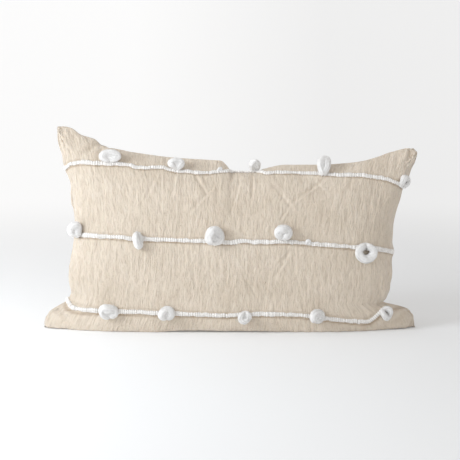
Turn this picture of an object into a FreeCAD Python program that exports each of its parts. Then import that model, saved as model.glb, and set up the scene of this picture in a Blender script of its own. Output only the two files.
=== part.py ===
"""Lumbar throw pillow standing on its lower long edge.

A removable woven cover (two panels, three woven-in yarn stripes with puffed roving loops, and a coil zip in
the bottom seam) around a separate fibre-filled insert. Millimetres. +X runs along the pillow, -Y is the
decorated front, +Z is up, and the origin is at the middle of the footprint on the surface it stands on.
"""

import FreeCAD, Part
import Sketcher
import math
import os

DOC = FreeCAD.newDocument("throw_pillow")
FRONT, BACK = -1, 1

# ---------------------------------------------------------------- driving dimensions

DIMENSIONS = {
    # the stuffed cover
    "PillowDepth": 140.0,          # greatest thickness, front to back
    "SeamPlaneOffset": 5.0,        # the seam plane behind the origin, because loops stand out in front
    "LeanBack": 14.0,              # how far the top seam leans behind the bottom seam
    "BottomSag": 7.0,              # how much of the rounded bottom the surface flattens
    "ContactDip": 0.6,             # cut off the cover where it stands, to leave a true flat
    "GrooveRise": 7.8,             # the bottom seam is drawn up this far between the two panels
    "GrooveWidth": 6.0,
    "CoverThickness": 1.2,
    "SeamGap": 0.15,               # half the gap between the two panels at a sewn seam
    # the insert
    "InsertInset": 17.0,
    "InsertBottom": 14.0,
    "InsertEase": 4.0,             # free space between cover and insert, front and back
    "LinerThickness": 0.5,
    # stripes and loops
    "StripeWidth": 5.4,
    "StripeHeight": 3.2,
    "StripeClearance": 0.5,
    "LoopSweep": 300.0,            # degrees of ring; the gap faces the stripe
    # zip tapes, coils and stops
    "ZipHalfOpening": 5.2,         # from the zip's middle to each hem
    "ZipTapeLength": 462.0,
    "ZipTapeWidth": 12.0,
    "ZipTapeThickness": 0.6,
    "ZipTapeBottom": 8.8,
    "ZipTapeFromMiddle": 1.2,
    "ZipCoilLength": 448.0,
    "ZipCoilRadius": 1.0,
    "ZipCoilFromMiddle": 1.7,
    "ZipCoilHeight": 7.7,          # the coils' centre line
    "StopLength": 2.0,
    "StopWidth": 2.0,
    "StopHeight": 2.0,
    "StopGap": 0.3,
    # zip slider and its pull tab
    "SliderLength": 10.0,
    "SliderWidth": 8.4,
    "SliderPlate": 1.0,
    "SliderBottom": 5.4,
    "SliderTopPlate": 9.7,
    "SliderPostWidth": 0.8,
    "SliderPostLength": 3.0,
    "SliderFlange": 0.8,
    "SliderFlangeHeight": 3.0,
    "SliderFromMiddle": 218.0,     # the slider's middle when the zip is closed
    "BailLength": 4.2,
    "BailDrop": 3.2,
    "BailWire": 0.8,
    "BailWidth": 2.0,
    "TabLength": 23.0,
    "TabWidth": 6.0,
    "TabThickness": 1.1,
    "TabPivotHeight": 4.3,
    "TabBar": 1.2,
    "TabWindowLength": 4.0,
    "TabWindowWidth": 3.4,
}

# Seam outline of the stuffed cover. Side seams: share of the height -> distance from the middle.
LEFT_SIDE = [(0.0, 319), (0.06, 312), (0.14, 286), (0.28, 278), (0.5, 271), (0.72, 277), (0.9, 290), (1.0, 297)]
RIGHT_SIDE = [(0.0, 319), (0.06, 313), (0.15, 281), (0.3, 279), (0.5, 282), (0.7, 293), (0.88, 311), (1.0, 320)]
# Top seam: share of the width, from the left corner to the right corner -> height.
TOP_SEAM = [(-1.0, 349), (-0.85, 331), (-0.62, 307), (-0.3, 294), (0.1, 285), (0.5, 283), (0.78, 291), (1.0, 309)]
# The dent of a hand's chop in the top: share of the width, width of the dent, depth.
CHOP_AT, CHOP_WIDTH, CHOP_DEPTH = 0.04, 0.13, 16.0
ROUNDNESS = 2.35                   # exponent of the stuffed cross-section: 2 is an ellipse
CORNER_THINNING = 0.72             # share of the thickness that the empty corners lose
LEAN_POWER = 1.4
# Where the corners begin to thin out, as shares of the half width and of the half height.
CORNER_ACROSS, CORNER_UP = 0.55, 0.5
# Shares of the half width over which the zip's opening closes, and over which the seam's groove runs out.
ZIP_CLOSES, GROOVE_FADES = (0.72, 0.80), (0.78, 0.98)
LOW_PART = 0.3                     # share of the height that the bottom seam's shaping reaches
# The insert's blunt corners, in millimetres: cut off its sides, kept out of the cover's lower corners,
# and taken off the ends of its bottom and of its top.
INSERT_BLUNT, INSERT_EAR, INSERT_END_LIFT, INSERT_TOP_DROP = 14.0, 20.0, 4.0, 16.0
INSERT_NARROWING = 0.93            # how much less far the insert's skin reaches than the cover's
GRID_ACROSS, GRID_UP = 40, 36      # spans of the surface grids

# Stripes: share of the width -> share of the panel's height. The stuffing pulls their ends towards the middle.
STRIPES = {
    "top": [(-1.0, 0.81), (-0.75, 0.91), (-0.3, 0.94), (0.5, 0.95), (0.85, 0.89), (1.0, 0.82)],
    "middle": [(-1.0, 0.48), (-0.6, 0.54), (0.0, 0.56), (0.5, 0.56), (0.75, 0.52), (1.0, 0.44)],
    "bottom": [(-1.0, 0.18), (-0.93, 0.145), (-0.7, 0.135), (0.0, 0.14), (0.5, 0.13), (0.82, 0.11), (1.0, 0.15)],
}
# Loops on each stripe: name, share of the width, ring radius, roving radius, tilt and twist.
# Tilt 0 lies flat on the face above its stripe, 90 points straight out, 180 hangs below. Twist 90 is edge-on.
LOOPS = {
    "top": [("loop_top_1", -0.70, 10.0, 5.0, 65, 0), ("loop_top_2", -0.30, 8.0, 4.2, 60, 20),
            ("loop_top_3", 0.165, 6.5, 4.2, 45, 30), ("loop_top_4", 0.54, 11.5, 5.0, 35, 45),
            ("loop_top_5", 0.965, 7.0, 3.6, 60, 10)],
    "middle": [("loop_middle_1", -0.95, 8.0, 3.8, 60, 70), ("loop_middle_2", -0.575, 8.5, 4.2, 80, 80),
               ("loop_middle_3", -0.105, 10.0, 5.4, 35, 15), ("loop_middle_4", 0.325, 10.5, 5.2, 20, 0),
               ("loop_middle_5", 0.835, 10.0, 5.4, 100, 10)],
    "bottom": [("loop_bottom_1", -0.72, 9.5, 5.2, 80, 15), ("loop_bottom_2", -0.375, 8.5, 4.6, 90, 10),
               ("loop_bottom_3", 0.09, 6.0, 3.4, 90, 25), ("loop_bottom_4", 0.53, 9.0, 4.8, 80, 10),
               ("loop_bottom_5", 0.9, 7.0, 3.6, 70, 0)],
}
# Small knots of roving on a stripe: name, share of the width, radius.
KNOTS = {"top": ("knot_top", -0.055, 4.0), "middle": ("knot_middle", 0.48, 4.2)}


def cell_name(node, what):
    """The alias of a loop's or knot's own dimension."""
    return "".join(word.capitalize() for word in node.split("_")) + what


for ring_list in LOOPS.values():
    for node, _, ring, roving, _, _ in ring_list:
        DIMENSIONS[cell_name(node, "Ring")] = ring
        DIMENSIONS[cell_name(node, "Roving")] = roving
for node, _, radius in KNOTS.values():
    DIMENSIONS[cell_name(node, "Radius")] = radius


def make_sheet():
    """The spreadsheet that holds the driving dimensions, one alias each."""
    sheet = DOC.addObject("Spreadsheet::Sheet", "dimensions")
    for row, (name, value) in enumerate(DIMENSIONS.items(), start=1):
        sheet.set(f"A{row}", name)
        sheet.set(f"B{row}", str(value))
        sheet.setAlias(f"B{row}", name)
    DOC.recompute()
    return sheet


SHEET = make_sheet()


def dim(name):
    """A driving dimension, read from the sheet."""
    return float(getattr(SHEET, name))


def bind(obj, expressions):
    """Binds properties of an object to formulas of the sheet's cells, written with spaces between words."""
    for path, text in expressions.items():
        words = [f"dimensions.{word}" if word in DIMENSIONS else word for word in text.split()]
        obj.setExpression(path, " ".join(words))
    return obj


# ---------------------------------------------------------------- the cushion's form

def through(points, t):
    """A smooth value at t through (position, value) pairs: a Hermite spline with limited slopes."""
    k = max(0, min(len(points) - 2, sum(1 for p in points if p[0] <= t) - 1))

    def slope(i):
        lo, hi = max(0, i - 1), min(len(points) - 1, i + 1)
        return (points[hi][1] - points[lo][1]) / (points[hi][0] - points[lo][0])

    (t0, v0), (t1, v1) = points[k], points[k + 1]
    span = t1 - t0
    s = (t - t0) / span
    return ((2 * s**3 - 3 * s**2 + 1) * v0 + (s**3 - 2 * s**2 + s) * span * slope(k)
            + (-2 * s**3 + 3 * s**2) * v1 + (s**3 - s**2) * span * slope(k + 1))


def smooth_step(low, high, value):
    s = max(0.0, min(1.0, (value - low) / (high - low)))
    return s * s * (3 - 2 * s)


def rounded(angle):
    """(share across, share of the depth) at an angle from -90 to 90 degrees round a stuffed section."""
    s, c = math.sin(math.radians(angle)), max(0.0, math.cos(math.radians(angle)))
    power = 2.0 / ROUNDNESS
    return math.copysign(abs(s) ** power, s), c ** power


def cover_point(side, a, b):
    """A point of the cover's outer skin. a runs across and b up, both from -90 to 90 degrees."""
    u, across = rounded(a)
    v, up = rounded(b)
    w = (v + 1) / 2
    x = -through(LEFT_SIDE, w) * (1 - u) / 2 + through(RIGHT_SIDE, w) * (1 + u) / 2
    corner = smooth_step(CORNER_ACROSS, 1.0, abs(u)) * smooth_step(CORNER_UP, 1.0, abs(v))
    reach = dim("PillowDepth") / 2 * across * up * (1 - CORNER_THINNING * corner)
    zipped = 1 - smooth_step(*ZIP_CLOSES, abs(u))
    gap = dim("SeamGap") + (dim("ZipHalfOpening") - dim("SeamGap")) * zipped * smooth_step(0.25, 0.0, w)
    sag = dim("BottomSag")
    dip = dim("ContactDip")
    chop = CHOP_DEPTH * math.exp(-((u - CHOP_AT) / CHOP_WIDTH) ** 2)
    raw = w * (through(TOP_SEAM, u) + sag) - chop * w ** 9 - sag + dip
    z = -dip + 0.5 * (raw + math.hypot(raw, 1.2))
    lift = dim("GrooveRise") * (1 - 0.7 * smooth_step(*GROOVE_FADES, abs(u)))
    z += lift * math.exp(-(reach / dim("GrooveWidth")) ** 2) * smooth_step(LOW_PART, 0.0, w)
    return FreeCAD.Vector(x, side * (reach + gap) + seam_depth(z), z)


def insert_point(side, a, b):
    """A point of the insert's outer skin, which keeps inside the cover and has blunt corners."""
    u, across = rounded(a)
    v, up = rounded(b)
    w = (v + 1) / 2
    inset = dim("InsertInset")
    blunt = INSERT_BLUNT * smooth_step(0.72, 1.0, abs(v)) ** 2
    ear = INSERT_EAR * smooth_step(LOW_PART, 0.0, w)
    left = through(LEFT_SIDE, w) - inset - blunt - ear
    right = through(RIGHT_SIDE, w) - inset - blunt - ear
    x = -left * (1 - u) / 2 + right * (1 + u) / 2
    low = dim("InsertBottom") + INSERT_END_LIFT * smooth_step(0.7, 1.0, abs(u))
    top_drop = INSERT_TOP_DROP * smooth_step(0.6, 1.0, abs(u)) ** 2
    high = through(TOP_SEAM, u * INSERT_NARROWING) - inset * 0.8 - top_drop
    corner = smooth_step(CORNER_ACROSS, 1.0, abs(u)) * smooth_step(CORNER_UP, 1.0, abs(v))
    room = (dim("PillowDepth") / 2 - dim("InsertEase")) * INSERT_NARROWING
    reach = room * across * up * (1 - 0.6 * corner)
    z = low + w * (high - low) - CHOP_DEPTH * math.exp(-((u - CHOP_AT) / CHOP_WIDTH) ** 2) * w ** 6
    return FreeCAD.Vector(x, side * (reach + dim("SeamGap")) + seam_depth(z), z)


def outward(form, side, a, b):
    """The outward unit normal of a form's skin, taken just inside its edge."""
    a, b, step = max(-87.0, min(87.0, a)), max(-87.0, min(87.0, b)), 0.5
    across = form(side, a + step, b) - form(side, a - step, b)
    up = form(side, a, b + step) - form(side, a, b - step)
    return (across.cross(up) * -side).normalize()


def seam_depth(z):
    """How far behind the origin the seam plane is at a height."""
    return dim("SeamPlaneOffset") + dim("LeanBack") * (max(z, 0.0) / 300.0) ** LEAN_POWER


def skin_grid(form, side, inward):
    """Grid of points of a form's skin, moved inward but never past the seam plane."""
    rows = []
    for i in range(GRID_ACROSS + 1):
        row = []
        for j in range(GRID_UP + 1):
            a, b = -90 + 180 * i / GRID_ACROSS, -90 + 180 * j / GRID_UP
            normal = outward(form, side, a, b)
            if i in (0, GRID_ACROSS) or j in (0, GRID_UP):
                normal = FreeCAD.Vector(normal.x, 0, normal.z).normalize()
            point = form(side, a, b) - normal * inward
            past = dim("SeamGap") - side * (point.y - seam_depth(point.z))
            if past > 0:
                point.y += side * past
            row.append(point)
        rows.append(row)
    return rows


def spline_knots(count):
    """Evenly spaced knots and their multiplicities for a cubic row of control points."""
    knots = [float(k) for k in range(count - 2)]
    return knots, [4] + [1] * (count - 4) + [4]


def skin_surface(grid):
    """A cubic surface that has the grid for its control points, so that it never overshoots them."""
    knots_across, mults_across = spline_knots(len(grid))
    knots_up, mults_up = spline_knots(len(grid[0]))
    surface = Part.BSplineSurface()
    surface.buildFromPolesMultsKnots(grid, mults_across, mults_up, knots_across, knots_up, False, False, 3, 3)
    return surface


def tile(surface, across, up):
    """The part of a surface between two shares of its width and of its height."""
    u0, u1, v0, v1 = surface.bounds()
    part = surface.copy()
    part.segment(u0 + (u1 - u0) * across[0], u0 + (u1 - u0) * across[1],
                 v0 + (v1 - v0) * up[0], v0 + (v1 - v0) * up[1])
    return part


def rims(pair, across, up):
    """Ruled faces between two matching tiles, along those of their edges that lie on the skin's own edge."""
    made = []
    for end, share in enumerate((*across, *up)):
        if share in (0.0, 1.0):
            lines = [(s.uIso if end < 2 else s.vIso)(s.bounds()[end]).toShape() for s in pair]
            made.append(Part.makeRuledSurface(*lines))
    return made


def solid_between(outer, inner):
    """The closed solid between two skins, in tiles that share their edges."""
    faces = []
    for across in ((0.0, 0.25), (0.25, 0.5), (0.5, 0.75), (0.75, 1.0)):
        for up in ((0.0, 0.25), (0.25, 1.0)):
            pair = [tile(surface, across, up) for surface in (outer, inner)]
            faces += [surface.toShape() for surface in pair]
            faces += rims(pair, across, up)
    shell = Part.makeShell(faces)
    shell.sewShape()
    solid = Part.makeSolid(shell)
    if solid.Volume < 0:
        solid.reverse()
    return solid


def feature(name, shape):
    """A sub-part whose shape is a computed solid."""
    obj = DOC.addObject("Part::Feature", name)
    obj.Label = name
    obj.Shape = shape
    return obj


# ---------------------------------------------------------------- cover and insert

def above_floor(shape):
    """The shape with everything under the surface that it stands on cut off flat."""
    under = Part.makeBox(900, 400, 60, FreeCAD.Vector(-450, -200, -60))
    return shape.cut(under).Solids[0]


def cover_panels():
    made = []
    for name, side in (("front_panel", FRONT), ("back_panel", BACK)):
        outer = skin_surface(skin_grid(cover_point, side, 0.0))
        inner = skin_surface(skin_grid(cover_point, side, dim("CoverThickness")))
        made.append(feature(name, above_floor(solid_between(outer, inner))))
    return made


def insert_pieces():
    made = []
    for name, side in (("insert_front_liner", FRONT), ("insert_back_liner", BACK)):
        outer = skin_surface(skin_grid(insert_point, side, 0.0))
        inner = skin_surface(skin_grid(insert_point, side, dim("LinerThickness")))
        made.append(feature(name, solid_between(outer, inner)))
    inside = dim("LinerThickness") + 0.3
    halves = [skin_surface(skin_grid(insert_point, side, inside)) for side in (FRONT, BACK)]
    made.append(feature("insert_fibre_fill", solid_between(*halves)))
    return made


# ---------------------------------------------------------------- stripes and loops on the front

def angle_of(share):
    """The angle round a stuffed section at a share of the half width or half height."""
    return math.degrees(math.asin(math.copysign(abs(share) ** (ROUNDNESS / 2.0), share)))


def face_frame(stripe, across):
    """A place on the front where a stripe crosses a share of the width: point, outward, along, up."""
    height = through(STRIPES[stripe], across)
    a, b = angle_of(across), angle_of(2 * height - 1)
    point = cover_point(FRONT, a, b)
    normal = outward(cover_point, FRONT, a, b)
    ahead = cover_point(FRONT, min(a + 1.0, 90), b) - cover_point(FRONT, max(a - 1.0, -90), b)
    along = (ahead - normal * ahead.dot(normal)).normalize()
    return point, normal, along, normal.cross(along)


def stripe_section(stripe, across):
    """A flat oval of yarn across the stripe, clear of the cloth under it."""
    point, normal, _, up = face_frame(stripe, across)
    middle = point + normal * (dim("StripeClearance") + dim("StripeHeight") / 2)
    corners = []
    for step in range(8):
        turn = math.radians(45 * step + 22.5)
        corners.append(middle + up * (math.cos(turn) * dim("StripeWidth") / 2)
                       + normal * (math.sin(turn) * dim("StripeHeight") / 2))
    return Part.makePolygon(corners + corners[:1])


def stripes():
    made = []
    for name in STRIPES:
        sections = [stripe_section(name, -0.975 + 1.95 * k / 44) for k in range(45)]
        made.append(feature(f"stripe_yarn_{name}", Part.makeLoft(sections, True, False)))
    return made


def placed(point, x_axis, y_axis, z_axis):
    """The placement that turns the axes into three given directions at a point."""
    return FreeCAD.Placement(FreeCAD.Matrix(
        x_axis.x, y_axis.x, z_axis.x, point.x,
        x_axis.y, y_axis.y, z_axis.y, point.y,
        x_axis.z, y_axis.z, z_axis.z, point.z,
        0, 0, 0, 1))


def loop(stripe, name, across, tilt, twist):
    """A puffed loop of roving: most of a ring that stands on its stripe, with the ring's gap at its root."""
    ring, roving = dim(cell_name(name, "Ring")), dim(cell_name(name, "Roving"))
    point, normal, along, up = face_frame(stripe, across)
    tilt, twist = math.radians(tilt), math.radians(twist)
    stand = up * math.cos(tilt) + normal * math.sin(tilt)
    wide = along * math.cos(twist) + along.cross(stand) * math.sin(twist)
    centre = point + normal * (dim("StripeClearance") + roving + 0.4) + stand * ring
    torus = bind(DOC.addObject("Part::Torus", name), {
        "Radius1": cell_name(name, "Ring"), "Radius2": cell_name(name, "Roving"), "Angle3": "LoopSweep"})
    torus.Label = name
    # the ring starts beside its root: the gap's middle is turned towards the stripe
    start = math.radians(-90 + (360 - dim("LoopSweep")) / 2)
    x_axis = wide * math.cos(start) + stand * math.sin(start)
    y_axis = stand * math.cos(start) - wide * math.sin(start)
    torus.Placement = placed(centre, x_axis, y_axis, x_axis.cross(y_axis))
    return torus


def knot(stripe, name, across):
    point, normal, _, _ = face_frame(stripe, across)
    ball = bind(DOC.addObject("Part::Sphere", name), {"Radius": cell_name(name, "Radius")})
    ball.Label = name
    reach = dim("StripeClearance") + dim(cell_name(name, "Radius"))
    ball.Placement = FreeCAD.Placement(point + normal * reach, FreeCAD.Rotation())
    return ball


def loops_and_knots():
    made = []
    for stripe, rings in LOOPS.items():
        for name, across, _, _, tilt, twist in rings:
            made.append(loop(stripe, name, across, tilt, twist))
    for stripe, (name, across, _) in KNOTS.items():
        made.append(knot(stripe, name, across))
    return made


# ---------------------------------------------------------------- zip in the bottom seam

def block(name, sizes, corner):
    """A box whose size and lowest corner are formulas of the sheet's cells."""
    box = bind(DOC.addObject("Part::Box", name), dict(zip(("Length", "Width", "Height"), sizes)))
    box.Label = name
    return bind(box, dict(zip(("Placement.Base.x", "Placement.Base.y", "Placement.Base.z"), corner)))


def tapes_and_coils():
    made = []
    for name, tape_y, coil_y in (
            ("front", "SeamPlaneOffset - ZipTapeFromMiddle - ZipTapeWidth", "SeamPlaneOffset - ZipCoilFromMiddle"),
            ("back", "SeamPlaneOffset + ZipTapeFromMiddle", "SeamPlaneOffset + ZipCoilFromMiddle")):
        made.append(block(f"zip_tape_{name}", ("ZipTapeLength", "ZipTapeWidth", "ZipTapeThickness"),
                          ("-1 * ZipTapeLength / 2", tape_y, "ZipTapeBottom")))
        coil = bind(DOC.addObject("Part::Cylinder", f"zip_coil_{name}"), {
            "Radius": "ZipCoilRadius", "Height": "ZipCoilLength"})
        coil.Label = f"zip_coil_{name}"
        coil.Placement = FreeCAD.Placement(FreeCAD.Vector(), FreeCAD.Rotation(FreeCAD.Vector(0, 1, 0), 90))
        made.append(bind(coil, {"Placement.Base.x": "-1 * ZipCoilLength / 2", "Placement.Base.y": coil_y,
                                "Placement.Base.z": "ZipCoilHeight"}))
    return made


def stops():
    """Two small clips at the coils' closed end, and one wider clip that bridges both rows at the other."""
    low = "ZipCoilHeight - StopHeight / 2"
    front_y = "SeamPlaneOffset - ZipCoilFromMiddle - StopWidth / 2"
    back_y = "SeamPlaneOffset + ZipCoilFromMiddle - StopWidth / 2"
    beyond = "ZipCoilLength / 2 + StopGap"
    sizes = ("StopLength", "StopWidth", "StopHeight")
    clips = [block(f"top_stop_{side}", sizes, (beyond, y, low)) for side, y in (("a", front_y), ("b", back_y))]
    pair = DOC.addObject("Part::Compound", "zip_top_stops")
    pair.Label = "zip_top_stops"
    pair.Links = clips
    bridge = block("zip_bottom_stop", ("StopLength", "2 * ZipCoilFromMiddle + StopWidth", "StopHeight"),
                   ("-1 * ZipCoilLength / 2 - StopGap - StopLength", front_y, low))
    return [pair, bridge]


def sketch_in(body, name, plane):
    """A sketch on a body's base plane: XY_Plane, XZ_Plane or YZ_Plane."""
    sketch = body.newObject("Sketcher::SketchObject", name)
    base = next(f for f in body.Origin.OriginFeatures if f.Name.startswith(plane))
    sketch.AttachmentSupport = (base, [""])
    sketch.MapMode = "FlatFace"
    return sketch


def draw_rectangle(sketch, size, middle):
    """A rectangle with sizes and middle given as formulas of the sheet's cells."""
    first = sketch.GeometryCount
    corners = [FreeCAD.Vector(x, y, 0) for x, y in ((-1, -1), (1, -1), (1, 1), (-1, 1))]
    for here, there in zip(corners, corners[1:] + corners[:1]):
        sketch.addGeometry(Part.LineSegment(here, there), False)
    for k in range(4):
        sketch.addConstraint(Sketcher.Constraint("Coincident", first + k, 2, first + (k + 1) % 4, 1))
    for k, kind in enumerate(("Horizontal", "Vertical", "Horizontal", "Vertical")):
        sketch.addConstraint(Sketcher.Constraint(kind, first + k))
    wide, high = size
    across, up = middle
    measures = (("DistanceX", first, 1, first, 2, 2.0, wide),
                ("DistanceY", first + 1, 1, first + 1, 2, 2.0, high),
                ("DistanceX", -1, 1, first + 1, 2, 1.0, f"{across} + ( {wide} ) / 2"),
                ("DistanceY", -1, 1, first + 1, 2, 1.0, f"{up} + ( {high} ) / 2"))
    for kind, g1, p1, g2, p2, value, formula in measures:
        index = sketch.addConstraint(Sketcher.Constraint(kind, g1, p1, g2, p2, value))
        bind(sketch, {f"Constraints[{index}]": formula})


def pad(body, name, sketch, length, midplane=False, feature_type="PartDesign::Pad"):
    """A pad (or pocket) of a sketch, with its length bound to the sheet."""
    made = body.newObject(feature_type, name)
    made.Profile = sketch
    made.Midplane = midplane
    bind(made, {"Length": length})
    sketch.Visibility = False
    return made


def lifted(sketch, height):
    """Moves a sketch along its plane's normal to a height from the sheet."""
    return bind(sketch, {"AttachmentOffset.Base.z": height})


def slider():
    """Two plates joined by a post between the coils, flanges outside the coils, and a bail under the lower plate.

    Drawn about the slider's own middle, in the zip's middle plane.
    """
    body = DOC.addObject("PartDesign::Body", "zip_slider")
    body.Label = "zip_slider"
    plate = ("SliderLength", "SliderWidth")
    low = lifted(sketch_in(body, "lower_plate_outline", "XY_Plane"), "SliderBottom")
    draw_rectangle(low, plate, ("0", "0"))
    pad(body, "lower_plate", low, "SliderPlate")
    post = lifted(sketch_in(body, "post_outline", "XY_Plane"), "SliderBottom")
    draw_rectangle(post, ("SliderPostLength", "SliderPostWidth"), ("0", "0"))
    pad(body, "post", post, "SliderTopPlate - SliderBottom + SliderPlate")
    top = lifted(sketch_in(body, "upper_plate_outline", "XY_Plane"), "SliderTopPlate")
    draw_rectangle(top, plate, ("0", "0"))
    pad(body, "upper_plate", top, "SliderPlate")
    flanges = lifted(sketch_in(body, "flange_outline", "XY_Plane"), "SliderBottom")
    for sign in ("-1", "1"):
        draw_rectangle(flanges, ("SliderLength", "SliderFlange"),
                       ("0", f"{sign} * ( SliderWidth - SliderFlange ) / 2"))
    pad(body, "flanges", flanges, "SliderFlangeHeight")
    bail = sketch_in(body, "bail_outline", "XZ_Plane")
    draw_rectangle(bail, ("BailLength", "BailDrop + SliderPlate / 2"),
                   ("0", "SliderBottom + SliderPlate / 4 - BailDrop / 2"))
    draw_rectangle(bail, ("BailLength - 2 * BailWire", "BailDrop - BailWire"),
                   ("0", "SliderBottom - ( BailDrop - BailWire ) / 2"))
    pad(body, "bail", bail, "BailWidth", midplane=True)
    return bind(body, {"Placement.Base.x": "SliderFromMiddle", "Placement.Base.y": "SeamPlaneOffset"})


def pull_tab():
    """A flat tab with a window at one end, whose end bar hangs in the slider's bail."""
    body = DOC.addObject("PartDesign::Body", "zip_pull_tab")
    body.Label = "zip_pull_tab"
    outline = lifted(sketch_in(body, "tab_outline", "XY_Plane"), "-1 * TabThickness / 2")
    draw_rectangle(outline, ("TabLength", "TabWidth"), ("TabBar / 2 - TabLength / 2", "0"))
    draw_rectangle(outline, ("TabWindowLength", "TabWindowWidth"), ("-1 * TabBar / 2 - TabWindowLength / 2", "0"))
    pad(body, "tab_plate", outline, "TabThickness")
    return bind(body, {"Placement.Base.x": "SliderFromMiddle", "Placement.Base.y": "SeamPlaneOffset",
                       "Placement.Base.z": "TabPivotHeight"})


# ---------------------------------------------------------------- build, check and write

def main():
    subparts = [*cover_panels(), *insert_pieces(), *stripes(), *loops_and_knots(), *tapes_and_coils(), *stops(),
                slider(), pull_tab()]
    DOC.recompute()
    broken = [o.Name for o in DOC.Objects if {"Invalid", "Error"} & set(o.State)]
    for obj in subparts:
        if obj.Shape.isNull() or not obj.Shape.isValid():
            broken.append(obj.Label)
    if broken:
        raise RuntimeError(f"not built: {broken}")
    os.makedirs("parts", exist_ok=True)
    for obj in subparts:
        obj.Shape.exportStep(f"parts/{obj.Label}.step")
    print(f"{len(subparts)} sub-parts written")


main()
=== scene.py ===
"""The throw pillow as it looks: cloth cover, woven-in yarn stripes, roving loops, zip and insert."""
import math

import bpy
import numpy as np
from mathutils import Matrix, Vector


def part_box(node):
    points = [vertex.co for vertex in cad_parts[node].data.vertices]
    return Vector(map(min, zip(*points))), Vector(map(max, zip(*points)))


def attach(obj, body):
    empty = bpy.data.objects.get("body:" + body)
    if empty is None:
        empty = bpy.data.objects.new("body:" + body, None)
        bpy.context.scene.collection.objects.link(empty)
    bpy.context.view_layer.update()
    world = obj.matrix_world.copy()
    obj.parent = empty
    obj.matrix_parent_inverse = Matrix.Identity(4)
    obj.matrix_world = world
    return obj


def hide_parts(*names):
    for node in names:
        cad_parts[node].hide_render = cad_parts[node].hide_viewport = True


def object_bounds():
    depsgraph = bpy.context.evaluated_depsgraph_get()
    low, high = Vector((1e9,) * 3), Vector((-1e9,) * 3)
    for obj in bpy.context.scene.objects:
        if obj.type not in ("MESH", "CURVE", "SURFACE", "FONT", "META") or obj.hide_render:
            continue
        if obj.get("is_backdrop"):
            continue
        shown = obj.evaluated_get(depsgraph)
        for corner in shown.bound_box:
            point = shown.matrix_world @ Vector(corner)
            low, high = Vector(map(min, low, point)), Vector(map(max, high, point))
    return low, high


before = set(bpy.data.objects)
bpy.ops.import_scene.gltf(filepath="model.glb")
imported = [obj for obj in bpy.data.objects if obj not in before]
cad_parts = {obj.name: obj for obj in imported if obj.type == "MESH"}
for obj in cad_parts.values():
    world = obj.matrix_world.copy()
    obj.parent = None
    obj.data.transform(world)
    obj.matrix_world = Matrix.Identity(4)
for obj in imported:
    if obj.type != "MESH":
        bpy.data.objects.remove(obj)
CAD_LOW, CAD_HIGH = (np.array(corner, float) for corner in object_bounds())
MM = 0.001

# ---------------- sizes from the CAD model
zip_low, zip_high = (np.array(corner, float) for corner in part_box("zip_slider"))
SEAM_Y = float(zip_low[1] + zip_high[1]) / 2  # the plane the seams and the zip lie in
HALF_LEFT, HALF_RIGHT = -CAD_LOW[0], CAD_HIGH[0]  # tips of the bottom corners
TALL = CAD_HIGH[2]  # the left top corner
SEAM_RISE = 7.8 * MM  # the zipped seam's height above the floor
ZIP_HALF_OPENING = 5.2 * MM - .35 * MM  # from the zip's middle to each hem, less the hem's edge
DEPTH = 140 * MM
LEAN_BACK, LEAN_HEIGHT = 14 * MM, .3  # how far the top leans back at that height
SAG = 11 * MM  # how far the form's underside would go below the floor
OUTLINE_SAG = 7 * MM  # the same, as the side outlines were measured
CLOTH = 0.9 * MM  # the cover's thickness
LEFT_TIP, RIGHT_TIP = -.297, .319  # x of the two top corners
RIGHT_TALL = .895  # the right top corner's height as a share of the left one's
ELEVATION = math.radians(7.5)  # how far the photograph looks down

# Outlines: share of the end's height, then share of the half length.
LEFT_SIDE = [
    (0, 1.012), (.04, 1.014), (.081, 1.0), (.101, .980), (.126, .94), (.143, .909), (.16, .89), (.197, .862),
    (.236, .872), (.292, .881), (.34, .871), (.438, .85), (.53, .843), (.607, .851), (.64, .861), (.70, .862),
    (.745, .869), (.795, .89), (.83, .9), (.874, .906), (.907, .918), (.963, .931), (1, .931)]
RIGHT_SIDE = [
    (0, 1.006), (.076, 1.0), (.117, .98), (.13, .96), (.1415, .933), (.1525, .89), (.162, .85), (.176, .842),
    (.203, .85), (.24, .862), (.294, .869), (.351, .881), (.402, .878), (.443, .886), (.49, .878),
    (.541, .878), (.595, .881), (.665, .897), (.74, .92), (.782, .931), (.858, .966), (.892, .975),
    (.946, 1.0), (.985, 1.008), (1.0, .997)]
# Share across, then height as a share of the left top corner's.
TOP_SEAM = [
    (-1.0, 1.004), (-.97, 1.008), (-.92, 1.0), (-.864, .967), (-.786, .943), (-.753, .916), (-.64, .889),
    (-.536, .874), (-.357, .853), (-.24, .846), (-.083, .838), (.263, .817), (.45, .817), (.627, .826),
    (.705, .836), (.782, .855), (.86, .880), (.961, .899), (1.0, .895)]
# Where the top seam is pushed in, with a sharp lip on its left.
NOTCH = [(-1.0, 0), (-.09, 0), (-.05, -.0075), (-.025, -.018), (.05, -.0165), (.123, -.013), (.156, -.0085),
         (.27, 0), (1.0, 0)]


def smooth(low, high, value):
    """0 below low, 1 above high, and an S curve between them."""
    s = np.clip((np.asarray(value, float) - low) / (high - low), 0, 1)
    return s * s * (3 - 2 * s)


def through(points, at):
    """A smooth curve through the points, at the given places."""
    xs, ys = np.array(points, float).T
    rise = np.diff(ys) / np.diff(xs)
    before, after = np.r_[rise[:1], rise], np.r_[rise, rise[-1:]]
    same_way = before * after > 0
    slope = np.where(same_way, 2 * before * after / np.where(same_way, before + after, 1), 0)
    k = np.clip(np.searchsorted(xs, at, side="right") - 1, 0, len(xs) - 2)
    span = xs[k + 1] - xs[k]
    s = (at - xs[k]) / span
    return ((2 * s**3 - 3 * s**2 + 1) * ys[k] + (s**3 - 2 * s**2 + s) * span * slope[k]
            + (3 * s**2 - 2 * s**3) * ys[k + 1] + (s**3 - s**2) * span * slope[k + 1])


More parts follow.
